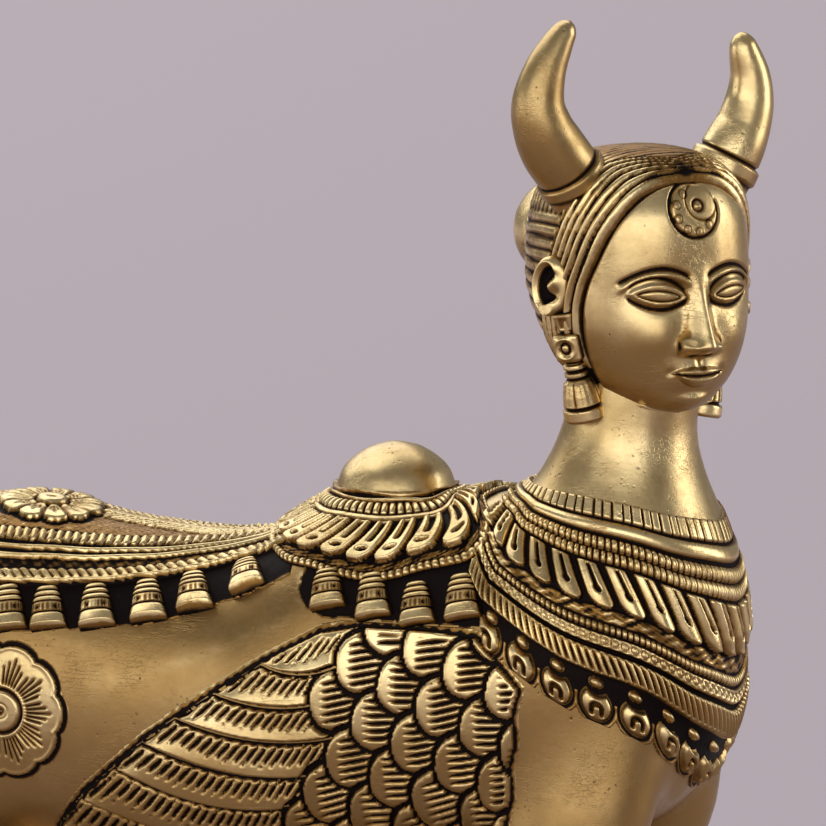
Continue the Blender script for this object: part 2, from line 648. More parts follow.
def hair():
    share, around = disc_grid(finely(140), finely(270))
    (middle, height), (deep, wide, tall) = HAIR_CENTRE, HAIR_SIZE
    # The rim in each direction is where the egg meets the hairline's plane
    tries = np.linspace(0, np.pi, 720)[:, None]
    f, l, z = egg(tries, around[:1])
    f, l, z = egg(share * tries[np.argmax(f > hairline(z), axis=0), 0], around)
    side = np.abs(l)
    # Strands run from the parting along the hairline, closer together near the parting
    behind = hairline(z) - f
    sweep = np.hypot(side, 1.5) / 15
    lane = behind / (0.42 + 0.58 * np.clip(sweep, 0, 1) ** 0.8) / 2.4
    in_strands = soft(5.9, 5.6, lane)
    strand = np.abs(np.sin(np.pi * (lane + 0.4))) ** 0.7
    # Behind them fine lines run across the crown and, lower, round towards the bun.
    crown = soft(266, 272, z)
    comb = np.abs(np.sin(np.arctan2(z - BUN_HEIGHT, l) * 26))
    fine = np.abs(np.sin(np.pi * f / 2.3)) * crown + comb * (1 - crown)
    rise = (-0.3 + 1.7 * strand * (0.35 + 0.65 * soft(0, 1.6, behind))) * in_strands
    rise = rise + (1 - in_strands) * (0.7 + 0.55 * fine)
    grime = 1.15 * in_strands * soft(0.76, 0.4, strand)
    grime = grime + (1 - in_strands) * (0.2 + 0.7 * soft(0.62, 0.25, fine))
    grime = grime + 0.5 * bump(side, 0, 2.6) * soft(9, 1, behind) + 0.3 * crown * soft(16, 6, side)
    normals = unit(head_way((f - middle) / deep**2, l / wide**2, (z - height) / tall**2))
    points = from_head(f, l, z) + normals * rise[..., None]
    # The cut edge of the hair turns down to the skin
    for depth, shade in ((0.96, 0.35), (0.9, 1.0)):
        lip = from_head(f[-1], l[-1] * depth, height + (z[-1] - height) * depth)
        points = np.concatenate([points, lip[None]])
        grime = np.concatenate([grime, np.full((1, len(lip)), shade)])
    piece("hair", [grid_part(points, points - from_head(middle, 0.0, height), grime, True)])


hair()


def bun():
    """The knot at the back of the head, with a braid round its base."""
    middle, radius, braid_middle, braid_reach = -40.0, 14, -33.5, 13.6
    share, around = disc_grid(40, 84)
    polar = share * math.radians(125)
    across, up = np.sin(polar) * np.cos(around), np.sin(polar) * np.sin(around)
    points = from_head(middle - radius * np.cos(polar), 15 * across, BUN_HEIGHT + radius * up)
    grime = 0.1 + 0.35 * soft(262, 246, BUN_HEIGHT + radius * up) + 0.6 * soft(0.85, 1.0, share)
    piece("bun", [grid_part(points, points - from_head(middle, 0.0, BUN_HEIGHT), grime, True)])

    across, around = np.meshgrid(full_turn(18), full_turn(200), indexing="ij")
    twist = np.abs(np.sin(9 * around + across * 0.5))
    thick = 2.6 * (0.72 + 0.28 * twist**0.6)

    def round_base(back, reach):
        return from_head(back, reach * np.cos(around) * 1.06, BUN_HEIGHT + reach * np.sin(around))

    points = round_base(braid_middle - thick * np.sin(across) * 1.2, braid_reach + thick * np.cos(across))
    spine = round_base(braid_middle, braid_reach)
    piece("braid", [grid_part(points, points - spine, soft(0.5, 0.15, twist), True, True)])


bun()


def tube(name, centres, radii, grime, columns, shape=1.0, rises=0.0, side_first=(0, 1, 0), stain=0.0):
    """A piece that runs along a line of points with a radius at each, closed at both ends."""
    along, first = unit(np.gradient(centres, axis=0)), np.array(side_first, float)
    across = unit(first - (along @ first)[:, None] * along)
    third = np.cross(along, across)
    turn = full_turn(columns)
    reach = np.ones(columns) * shape * radii[:, None] + rises
    out_first, out_third = (np.cos(turn) * reach)[..., None], (np.sin(turn) * reach)[..., None]
    ways = across[:, None] * out_first + third[:, None] * out_third
    piece(name, [grid_part(centres[:, None] + ways, ways, grime, True)], stain)


# Horns: side, height, forward and radius at each station. The figure's left horn is the shorter one.
HORN_RIGHT = [
    [17.3, 270, -2, 8.5], [22.0, 278, -2, 8.5], [27.8, 285.3, -1.5, 8.5], [31.3, 291.3, -1, 7.7],
    [32.6, 297.6, -1, 6.8], [31.0, 305.5, -0.5, 5.5], [27.6, 312.4, 0, 4.1], [23.8, 318.2, 0.5, 2.5],
]
HORN_LEFT = [
    [18.5, 270, -2, 8.2], [22.9, 278, -1.5, 8.3], [26, 283.8, -1, 7.9], [28.4, 288.6, -1, 7.1],
    [30.1, 294.6, -1, 6.3], [29.9, 301, -0.5, 5.2], [28, 307.7, -0.3, 3.9], [26.8, 312.3, 0, 2.4],
]
# Where the ring round each horn starts and ends, in lengths from the horn's foot
HORN_RING = (7.0, 11.4)


def horn(name, sign, stations, stain):
    side, height, forward, radius = smooth_rows(stations, 14).T
    line = np.column_stack([from_head(forward, sign * side, height), radius])
    steps, (*centres, radius) = even_line(line, 110)
    # A blunt round tip, then the ring and the cut above it
    left = (steps[-1] - steps) / (radius[-1] * 1.3)
    tip = np.sqrt(np.clip(1 - (1 - left) ** 2, 0.0004, 1)) * np.maximum(radius, 2.4)
    radius = np.where(left < 1, tip, radius)
    foot, top = HORN_RING
    band = soft(foot - 0.4, foot + 0.5, steps) * soft(top + 0.3, top - 0.5, steps)
    cut = bump(steps, top + 0.4, 0.45)
    grime = 1.2 * cut + 0.8 * bump(steps, foot - 0.6, 1.0) + 0.15 * band
    tube(name, np.stack(centres, axis=-1), radius + 0.9 * band - 0.7 * cut, grime[:, None], 54, stain=stain)


horn("horn_right", -1, HORN_RIGHT, 0.6)
horn("horn_left", 1, HORN_LEFT, 0.25)


# Relief. Each pattern is a height in mm over the metal, and a grime between 0 and 1, on a grid of points.


def plateau(value, low, high, edge):
    """1 between low and high, with edges this wide."""
    return soft(low - edge / 2, low + edge / 2, value) * soft(high + edge / 2, high - edge / 2, value)


def dome(value, low, high):
    """A half round that stands between low and high."""
    return arch(2 * np.clip((value - low) / (high - low), 0, 1) - 1, 0.5)


def off_line(along, pitch):
    """How far along lies from the nearest of evenly spaced lines."""
    return np.abs(np.mod(along + pitch / 2, pitch) - pitch / 2)


def ticked(along, pitch, width, depth=0.75):
    """1, less this depth at evenly spaced cuts."""
    return 1 - depth * bump(off_line(along, pitch), 0, width)


def crumb(x, y, seed=0.0):
    """An uneven surface made of crossed waves, between about -1 and 1."""
    return (
        np.sin(2.1 * x + 1.3 * y + seed)
        + np.sin(-1.7 * x + 2.9 * y + 2 * seed)
        + np.sin(4.3 * x - 3.1 * y + 3 * seed) * 0.7
        + np.sin(5.9 * x + 6.7 * y + 5 * seed) * 0.5
    ) / 2.6


def even_columns(points, rows):
    """The same lines of points, each cut into even steps, and their lengths."""
    gone = run_lengths(points)
    return read_lengths(points, gone, np.linspace(0, gone[-1], rows)), gone[-1]


def row_shares(rows, columns):
    """The share of the way down at each point of a sheet."""
    return np.broadcast_to(np.linspace(0, 1, rows)[:, None], (rows, columns))


# Collars: bands, petals and pendants from the neck down over the chest

COLLAR_CENTRE = np.array([84.0, 0.0, 160.0])
COLLAR_REAR = 118
collar_top = read_by_first([[0, 189.5], [37, 192.5], [66, 195.8], [98, 197.4], [150, 198], [180, 197.5]])
collar_foot = read_by_first([[0, 119], [35, 126], [60, 136], [90, 145.5], [120, 162]])

# The collar's rows, as shares of the way down it
COLLAR_TICKS, COLLAR_RIDGE = (0.004, 0.087), (0.097, 0.16)
COLLAR_BEADS = ((0.176, 0.232, 0), (0.236, 0.294, 0.7))
COLLAR_PETALS, COLLAR_HEM, COLLAR_FINE_BEADS = (0.305, 0.485), (0.487, 0.545), (0.552, 0.592)
COLLAR_RINGS, COLLAR_BAND = (0.6, 0.652), (0.674, 0.772)
COLLAR_OVALS, COLLAR_CUPS = 0.818, 0.912
PETAL_PITCH, RING_PITCH, PENDANT_PITCH = 7.9, 2.75, 11.0
BARE = -1.2


def collar_skin(turns, rows, columns):
    """Points on the metal round the neck, from the collar's top line down, with its width and turn there."""
    turn = np.linspace(*turns, 180)
    away = np.hypot(turn, 10) - 10 * bump(turn, 0, 25)
    climb, round_neck = np.radians(np.linspace(77, -62, 170))[:, None], np.radians(turn)
    way = [np.cos(climb) * np.cos(round_neck), np.cos(climb) * np.sin(round_neck), np.sin(climb) + 0 * turn]
    points = body.outward(COLLAR_CENTRE, np.stack(way, axis=-1))
    gone = run_lengths(points)
    z = points[..., 2]
    column = np.arange(len(turn))

    def arc_where(level):
        first = np.clip(np.argmax(z <= level, axis=0), 1, None)
        above, below = z[first - 1, column], z[first, column]
        share = np.clip((above - level) / np.maximum(above - below, 1e-6), 0, 1)
        return gone[first - 1, column] + share * (gone[first, column] - gone[first - 1, column])

    start = arc_where(collar_top(np.minimum(away, 180))[0])
    width = arc_where(collar_foot(np.minimum(away, COLLAR_REAR))[0]) - start
    off = np.abs(turn)
    at_rear = np.interp(COLLAR_REAR, off, width)
    rear_width = np.interp(off, [COLLAR_REAR, 131, 150, 180], [at_rear, 36, 33, 32])
    width = np.where(off > COLLAR_REAR, rear_width, width)
    points = read_lengths(points, gone, start + np.linspace(0, 1, rows)[:, None] * width)
    # Closer together in front, where the petals are
    at = np.interp(np.linspace(0, 1, columns), [0, 0.9, 1], [0, 0.74, 1]) * (len(turn) - 1)
    points = resample(points, at, 1)
    return points, body.normals(points), np.interp(at, column, width), np.interp(at, column, turn)


def collar(name, sign, rows, columns):
    points, normals, length, turn = collar_skin((24.5 - 0.5 * sign, 180.4 * sign), rows, columns)
    share = row_shares(rows, columns)
    around = run_lengths(points, 1)
    if sign < 0:
        around = around - around[:, np.argmin(np.abs(turn))][:, None] - 0.4
    lower_front = 1 - 0.4 * bump(turn, 20, 16)

    def line_at(place):
        """Lengths round the neck along the row at this share of the way down."""
        return np.broadcast_to(around[int(place * (rows - 1))], (rows, columns))

    height, ground = np.full((rows, columns), 0.35), np.full((rows, columns), 0.5)
    a = line_at(0.05)
    height += 0.95 * plateau(share, *COLLAR_TICKS, 0.012) * ticked(a + 0.25 * np.sin(a), 2.5, 0.28)
    height += 1.35 * dome(share, *COLLAR_RIDGE)
    for low, high, shift in COLLAR_BEADS:
        a = line_at((low + high) / 2) + shift
        height += 1.75 * dome(share, low, high) * ticked(a + 0.12 * np.sin(1.7 * a), 1.75, 0.3, 0.72)

    # Petals lean forward as they go down; each has a slot with a small hole under it
    low, high = COLLAR_PETALS
    t = np.clip((share - low) / (high - low), 0, 1)
    a = line_at(0.4) + 0.5 * t * (high - low) * length
    c = np.mod(a, PETAL_PITCH) - PETAL_PITCH / 2
    half = (3.0 + 0.4 * t) * arch(np.maximum(t - 0.76, 0) / 0.25, 0.5)
    petal = soft(half + 0.2, half - 0.4, np.abs(c)) * plateau(share, low, high, 0.01)
    slot = soft(0.85, 0.4, np.abs(c + 0.2) / (0.8 + 0.3 * t)) * plateau(t, 0.04, 0.56, 0.08)
    opening = np.maximum(slot, soft(1.15, 0.7, np.hypot(c + 0.2, (t - 0.6) * (high - low) * length))) * petal
    height += petal * (2.1 - 0.12 * c * c + 0.5 * t) - 1.6 * opening
    ground += 0.5 * plateau(share, low, high, 0.02) * (1 - petal) + 0.8 * opening

    # A ragged dark hem under the petals, then fine beads and a band of small rings
    down = share * length
    ragged = plateau(share, *COLLAR_HEM, 0.015)
    height += ragged * (0.55 + 0.35 * crumb(a * 0.45, down * 0.9))
    ground += ragged * (0.05 + 0.2 * crumb(a * 0.3, down * 0.7, 2))
    height += 1.35 * dome(share, *COLLAR_FINE_BEADS) * ticked(line_at(0.57), 1.6, 0.3)
    middle = sum(COLLAR_RINGS) / 2
    off = np.mod(line_at(middle), RING_PITCH) - RING_PITCH / 2
    ring = np.hypot(off, (share - middle) * length)
    height += plateau(share, *COLLAR_RINGS, 0.012) * (1.5 - 0.75 * bump(ring, 0.95, 0.24))

    # The broad slanted band
    low, high = COLLAR_BAND
    t = (share - low) / (high - low)
    a = line_at(0.72) + 0.45 * np.clip(t, 0, 1) * (high - low) * length
    strokes = ticked(a, 2.15, 0.44, 0.62 * plateau(t, 0.04, 0.93, 0.1))
    height += plateau(share, low, high, 0.012) * (2.1 + 0.5 * dome(share, low, high)) * strokes

    # Pendants: an oval over a cup-shaped bead, in a dark ground whose foot follows the beads
    a = line_at(0.91)
    dx = np.mod(a, PENDANT_PITCH) - PENDANT_PITCH / 2
    drop = (share - COLLAR_CUPS) * length
    far = np.hypot(dx, drop)
    rim = 5.5 + 0.1 * crumb(a, drop)
    inside = np.maximum(soft(rim + 0.2, rim - 0.2, far), (drop < 0).astype(float))
    in_row = soft(0.776, 0.784, share)
    cup_edge = np.maximum(far - 4.2, (-2.2 - 0.15 * dx * dx) - drop)
    cup = soft(0.25, -0.55, cup_edge)
    arch_off = (np.hypot(dx, np.minimum(drop - 1.0, 0)) - 1.35) / 0.6
    arch_cut = np.exp(-(arch_off**4)) * soft(3.0, 2.3, drop) * cup
    oval = np.hypot(dx / 1.95, (share - COLLAR_OVALS) * length / 1.35)
    lip = in_row * bump(far, rim + 0.15, 0.45) * (drop > -1.5)
    pendants = cup * (2.9 - 0.09 * far**2) - 1.5 * arch_cut + 1.9 * arch(oval, 0.5)
    height = np.where(in_row > 0.5, 0.25, height) + in_row * pendants + 0.5 * lip
    ground = np.where(in_row > 0.5, 1.0 - soft(0.5, -0.2, cup_edge) - soft(1.15, 0.95, oval), ground)
    ground = np.clip(ground - 0.75 * lip + 0.8 * arch_cut * in_row, 0, 1)
    gone = in_row * (1 - inside) * soft(0.4, 0.1, lip)
    height = np.where(gone > 0.5, BARE, height) * lower_front
    # Behind the shoulder the lower rows end one by one, under the hump's cloth
    ends = [1.05, 0.79, 0.775, 0.62, 0.5, 0.3, 0.17, 0.17]
    last = np.interp(np.abs(turn), [113, 119, 126, 132, 141, 152, 165, 180], ends)
    height = np.where(share > last, BARE, height)
    grime = recess(height, rows / length.mean(), 1.35) * (1 - in_row) + ground * soft(1.35, 0.75, height)
    sheet(name, points, normals, height, np.where(in_row > 0.5, ground, grime))


collar("collar_right", -1, finely(168), finely(430))
collar("collar_left", 1, finely(120), finely(260))


# The cloth round the hump: a ridge, a ticked band, a ring of slanted leaves and a beaded hem

# How far the cloth reaches from the hump's middle at each turn from the front
hump_cloth_reach = read_by_first([
    [0, 28], [18, 29.5], [30, 38], [38, 44.5], [45, 45], [53, 41.5], [64, 38], [90, 34.6], [108, 34.2],
    [124, 34.8], [150, 33], [180, 31],
])
HUMP_CLOTH_INNER, HUMP_LEAVES = 15.2, 26


def hump_cloth():
    rows, columns = finely(90), finely(400)
    turn = full_turn(180)
    from_front = np.abs(np.degrees(np.mod(turn + np.pi, 2 * np.pi) - np.pi))
    reach = hump_cloth_reach(from_front)[0]
    far = HUMP_CLOTH_INNER + (reach - HUMP_CLOTH_INNER) * np.linspace(0, 1, 50)[:, None]
    start = np.stack([HUMP_X + far * np.cos(turn), far * np.sin(turn), np.full_like(far, 130.0)], axis=-1)
    points, length = even_columns(body.outward(start, np.array([0.0, 0.0, 1.0])), rows)
    # More columns on the side that the photograph shows
    place = np.interp(np.linspace(0, 1, columns + 1), [0, 0.33, 1], [0, 0.5, 1])[:-1]
    at = place * len(turn)
    points = resample(np.concatenate([points, points[:, :1]], axis=1), at, 1)
    length = np.interp(at, np.arange(len(turn) + 1), np.append(length, length[0]))
    angle = np.minimum(place * 360, 360 - place * 360)
    share = row_shares(rows, columns)
    around = run_lengths(points, 1)
    wave = 0.012 * np.sin(np.radians(angle) * 5 + np.where(place > 0.5, -1, 1))
    height, ground = np.full((rows, columns), 0.25), np.full((rows, columns), 0.5)
    height += 0.8 * dome(share + wave, 0.0, 0.055) + 0.9 * dome(share - wave, 0.075, 0.125)
    a = around[int(0.2 * rows)]
    height += 1.5 * dome(share, 0.14, 0.29) ** 0.6 * ticked(a, a[-1] / 60, 0.34)
    height += 0.9 * plateau(share, 0.3, 0.37, 0.05)

    low, high = 0.39, 0.81
    t = np.clip((share - low) / (high - low), 0, 1)
    leaf_at = angle / 360 * HUMP_LEAVES - 0.75 * t - 0.5 * t * (angle / 180)
    pitch = around[:, -1:] / HUMP_LEAVES
    c = (np.mod(leaf_at, 1) - 0.5) * pitch + 0.45 * np.sin(np.pi * t)
    half = pitch * (0.36 + 0.08 * t) * arch(np.maximum(t - 0.78, 0) / 0.24, 0.5)
    leaf = soft(half + 0.15, half - 0.45, np.abs(c)) * plateau(share, low, high, 0.02)
    slot = soft(0.95, 0.45, np.abs(c)) * plateau(t, 0.04, 0.55, 0.1)
    hole = soft(1.35, 0.85, np.hypot(c / 1.3, (t - 0.76) * (high - low) * length / 0.62))
    opening = np.maximum(slot, hole) * leaf
    height += leaf * (1.7 + 0.9 * t) - 1.4 * opening
    ground += 0.5 * plateau(share, low, high, 0.03) * (1 - leaf) + 0.6 * opening
    height += plateau(share, 0.82, 0.9, 0.02) * (0.3 + 0.5 * crumb(around * 0.6, share * 30))
    height += 1.3 * dome(share, 0.9, 0.985) * ticked(around[int(0.94 * rows)], 2.0, 0.4)
    grime = recess(height, 3.2 * FINE, 1.4) + np.clip(ground, 0, 1) * soft(1.35, 0.75, height)
    sheet("hump_cloth", points, body.normals(points), height, grime, True)


# The saddle cloth from rump to hump, with a lotus on the croup, and the dark ground that its bells hang on

SADDLE_X = (-112.0, 9.0)
BELL_DROP = 14.0
LOTUS_X, LOTUS_SIDE, LOTUS_PETALS = -67.0, -5.0, 11
saddle_hem = read_by_first([
    [-112, 168.8], [-90, 168.4], [-64, 168.6], [-52, 168.9], [-40, 169.6], [-26, 171.4], [-13, 174.3],
    [0, 178.6], [9, 183.6],
])
# The bells, under the saddle cloth and under the hump's: place along the cow, height of the top, and size
BELL_PLACES = [
    [-6.8, 175.0, 1.06], [-20.0, 171.6, 1.12], [-31.4, 169.6, 1.1], [-44.4, 168.4, 1.08], [-56.8, 167.6, 1.0],
    [-67.2, 167.7, 1.05], [-79.2, 167.7, 1.02], [-91.2, 167.6, 1.02], [-103, 167.4, 0.98],
]
HUMP_BELL_PLACES = [[19.3, 175.8, 0.94], [32.0, 175.6, 1.06], [44.6, 174.2, 0.98], [56.4, 176.6, 1.06]]


def back_skin(x_from, x_to, columns):
    """Points on the metal over the back at each x, and how far each lies from the crest."""
    x, turn = np.linspace(x_from, x_to, columns), np.radians(np.linspace(-100, 100, 201))[:, None]
    flat = np.zeros((len(turn), columns))
    start = np.stack([x + flat, flat, flat + 140.0], axis=-1)
    way = np.stack([flat, np.sin(turn) + flat, np.cos(turn) + flat], axis=-1)
    points = body.outward(start, way)
    gone = run_lengths(points)
    return x, points, gone - gone[len(turn) // 2]


def length_down_to(height, points, arc):
    """How far from the crest each line over the back has come down to this height."""
    half = len(points) // 2
    height = np.broadcast_to(height, points.shape[1])
    return np.array([np.interp(-height[j], -points[half:, j, 2], arc[half:, j]) for j in range(len(height))])


def petal_cuts(phase, mm, far, places, width, start, end, shorter):
    """Fine cuts along a petal, each at its place across it, the outer ones shorter."""
    return sum(
        bump((phase - k) * mm, 0, width) * soft(*start, far)
        * soft(end[0] - shorter * abs(k), end[1] - shorter * abs(k), far)
        for k in places
    )


def saddle():
    rows, columns = finely(225), finely(245)
    x, points, arc = back_skin(*SADDLE_X, columns)
    hem_at = length_down_to(saddle_hem(x)[0], points, arc)
    want = np.linspace(-1, 1, rows)[:, None] * (hem_at + BELL_DROP + 2.6)
    points = read_lengths(points, arc, want)
    # From the crest down, from the hem up, and along the cloth
    s = np.abs(want)
    e = hem_at - s
    along = np.broadcast_to(run_lengths(points, 1)[rows // 2], (rows, columns))
    px = points[..., 0]
    height = np.full((rows, columns), 0.45)
    ground = 0.45 + 0.2 * crumb(px * 0.9, s, 1.0)

    scallop = 0.35 * np.abs(np.sin(np.pi * (px - 3.7) / 12.95))
    fringe = ticked(along + 0.9 * e, 2.5, 0.5, 0.95 * plateau(e, 0.9, 3.8, 0.4) / 1.3)
    height += 1.3 * plateau(e, 0.1 - scallop, 3.7, 0.3) * fringe + 0.35 * bump(e, 0.45 - scallop, 0.35)
    for low in (7.2, 10.1):
        height += 1.15 * dome(e + 0.15 * np.sin(px * 0.35), low, low + 1.6)
    height += 1.3 * plateau(e, 13.2, 17.4, 0.4) * ticked(along + 0.15 * e, 2.15, 0.4, 0.8)
    field = soft(17.8, 18.6, e)
    height += field * (0.25 + 0.16 * crumb(px * 2.3, s * 2.1))
    ground += field * 0.1 * crumb(px * 1.7, s * 2.6, 4)
    crest = plateau(s, 2.0, 6.6, 0.3) * soft(15.8, 17.3, e)
    ridge = soft(1.9, 1.4, s)
    height += crest * (ticked(along + 0.7 * s, 2.1, 0.35) - 0.35) + 0.5 * ridge * soft(16, 17, e)
    ground -= 0.25 * crest + 0.1 * ridge

    # Lotus on the croup
    dx, dy = px - LOTUS_X, want - LOTUS_SIDE
    far, turn = np.hypot(dx, dy), np.arctan2(dy, dx)
    edge = 11.7 + 1.7 * np.abs(np.cos(LOTUS_PETALS / 2 * turn)) ** 0.6
    on = soft(edge + 0.25, edge - 0.25, far)
    phase = np.mod(turn * LOTUS_PETALS / (2 * np.pi) + 0.5, 1) - 0.5
    mm = far * 2 * np.pi / LOTUS_PETALS
    between = bump((np.abs(phase) - 0.5) * mm, 0, 0.42) * soft(3.5, 5, far)
    veins = petal_cuts(phase, mm, far, (-0.2, 0, 0.2), 0.22, (5.2, 6.5), (11.5, 10), 8)
    disc = 0.7 * soft(3.9, 3.3, far) - 0.9 * bump(far, 0, 0.8) - 1.0 * bump(far, 4.4, 0.5)
    lotus = 1.5 + 0.6 * soft(6, 11, far) - 1.2 * between - 1.0 * veins + disc
    ring = bump(far, edge + 0.7, 0.6)
    height = (height - 0.4 * ring) * (1 - on) + lotus * on
    lotus_grime = 0.9 * between + 0.8 * veins + bump(far, 4.4, 0.55) + bump(far, 0, 0.7)
    ground = np.clip((ground + 0.6 * ring) * (1 - on), 0, 1)
    grime = recess(height, rows / (hem_at.mean() * 2.8), 1.5) + ground * soft(1.15, 0.7, height)
    grime = grime * (1 - on) + lotus_grime * on

    # The dark ground under the hem, its ragged foot let into the metal
    panel = soft(0.05 - scallop, -0.25 - scallop, e)
    near_bell = np.min([np.abs(px - place[0]) for place in BELL_PLACES], axis=0)
    foot = 0.7 - BELL_DROP + 0.3 * crumb(px * 0.35, 0, 3)
    foot = foot + 1.2 * soft(4.6, 6.6, near_bell) - 1.6 * soft(-50, -20, px)
    height = height * (1 - panel) + panel * (np.where(e > foot, 0.12, -1.0) + 0.35 * bump(e, foot, 0.35))
    between_bells = soft(5.5, 6.1, near_bell + 0.3 * crumb(px, e))
    grime = grime * (1 - panel) + panel * (1 - 0.55 * bump(e, foot, 0.4) - 0.1 * between_bells)
    sheet("saddle_cloth", points, body.normals(points), height, grime)


def bell_ground():
    """The dark ground under the hump cloth's bells, one each side."""
    rows, columns = finely(44), finely(100)
    x, points, arc = back_skin(11.0, 66.0, columns)
    start = length_down_to(179.5, points, arc)
    top = np.interp(x, [11, 20, 45, 58, 66], [-2.2, -2.6, -4, -8, -10])
    drop = np.linspace(top, 20, rows)
    for sign, name in SIDES:
        ground = read_lengths(points, arc, sign * (start + drop))
        px = ground[..., 0]
        # The rear end is rounded
        foot = 17.4 + 0.5 * crumb(px * 0.4, 0, 2)
        corner = 8 - np.hypot(np.clip(20.2 - px, 0, None), np.clip(drop - (foot - 8), 0, None))
        inside = np.minimum(np.minimum(foot - drop, px - 12.2), corner) + 0.4 * crumb(drop * 0.35, 0, 1)
        height = np.where(inside > 0, 0.1, -1.0) + 0.35 * bump(inside, 0.1, 0.45)
        sheet("bell_ground_" + name, ground, body.normals(ground), height, 1 - 0.5 * bump(inside, 0.1, 0.5))


# Bells: loop, two rings, a band of strokes and holes, and a flared rim

BELL_PROFILE = np.array([
    [0, 0.3], [0.15, 2.3], [0.8, 2.9], [1.45, 2.8], [1.65, 2.4], [1.9, 3.0], [2.5, 3.5], [3.1, 3.45],
    [3.35, 2.9], [3.6, 3.4], [4.2, 3.85], [4.8, 3.8], [5.05, 3.2], [5.35, 3.95], [6.8, 4.15], [8.1, 4.3],
    [8.35, 3.6], [8.65, 4.2], [9.2, 4.5], [10.6, 4.75], [11.7, 4.9], [12.0, 4.75], [12.05, 4.6],
])


def side_skin(x, z, sign):
    """The metal beside the middle line at this place along the cow and height."""
    start = np.stack([x, np.zeros_like(x), z], axis=-1)
    return body.outward(start, np.array([0.0, float(sign), 0.0]))


def bells(name, sign, rows, columns):
    """Half-round bells on one flank, all in one piece."""
    _, (down, radius) = even_line(BELL_PROFILE, rows, 2)
    turn = np.radians(np.linspace(-112, 112, columns))
    degrees, down_column = np.degrees(turn), down[:, None]
    parts = []
    for number, (x, z, size) in enumerate(BELL_PLACES + HUMP_BELL_PLACES):
        spot = side_skin(np.array(x), np.array(z), sign)
        out = body.normals(spot[None])[0]
        # Upright as seen from the side and a little from the front
        drop = unit(sign * np.cross(out, (math.cos(AZIMUTH), -sign * math.sin(AZIMUTH), 0)))
        across = np.cross(drop, out)
        shift = 3 * math.sin(5.3 * number)
        stroke = bump(off_line(degrees + shift, 12.0), 0, 2.4) * plateau(down_column, 5.7, 7.9, 0.4)
        holes = sum(bump(degrees, k + shift, 7.5) * bump(down_column, 6.8, 0.7) for k in (-36, 34))
        r = radius[:, None] * (1 - 0.09 * stroke - 0.16 * holes)
        # A squarish section, flat in front
        side = r * np.sign(turn) * np.abs(np.sin(turn)) ** 0.85
        stand = r * np.clip(np.cos(turn), 0, 1) ** 0.6 * 0.66 + 0.4
        stand = np.where(np.abs(degrees) > 95, BARE, stand)
        stand[-1] = BARE
        base = spot + drop * (down * size)[:, None]
        base = base * 0.5 + side_skin(base[:, 0], base[:, 2], sign) * 0.5
        points = base[:, None] + across * side[..., None] + out * stand[..., None]
        cut = sum(bump(down_column, place, 0.3) for place in (1.65, 3.35, 5.05, 8.35))
        grime = 0.75 * stroke + 1.1 * holes + 1.3 * cut + soft(11.95, 12.03, down_column)
        parts.append(grid_part(points, out, grime + 0.45 * soft(62, 92, np.abs(degrees))))
    piece(name, parts)


# Wing: overlapping scales in front, long feathers behind them

WING_TIPS = [
    [20, 161], [4, 152.5], [-8.6, 144.4], [-18.9, 137.6], [-28, 131], [-35.8, 124.2], [-46, 115.5],
    [-54, 107], [-60, 99],
]
WING_ROOTS = [
    [27, 162], [24.5, 152.8], [22, 143.7], [23, 134.3], [20, 124.5], [11, 115.5], [5, 107], [0, 99], [-4, 91],
]


def feather_line(number, x):
    """The height of the lower edge of a feather at x, a hanging arc from its root to its tip."""
    (tip_x, tip_z), (root_x, root_z) = WING_TIPS[number], WING_ROOTS[number]
    u = np.clip((x - tip_x) / (root_x - tip_x), 0, 1)
    return root_z + (tip_z - root_z) * (1 - u) ** 2 - 9.6 * u * (1 - u)


def wing_edge(x):
    """The height of the wing's upper edge."""
    tips = WING_TIPS[::-1] + [[30, 163], [50, 163], [74, 161]]
    return np.interp(x, *zip(*tips))


def wing_inside(x, z):
    """How far a place lies inside the wing's outline."""
    front = 75 - 6 * np.clip((160 - z) / 56, 0, 1) + 0.5 * np.sin((z - 104) * 0.45)
    return np.minimum(np.minimum((wing_edge(x) - z) * 0.75, front - x), (208.8 - 0.9 * z - x) * 0.74)


FEATHER_STROKES, SCALE_STROKES = 2.45, 1.95
SCALE_BACK, SCALE_HALF, SCALE_GAP = 6.9, 7.6, 1.5


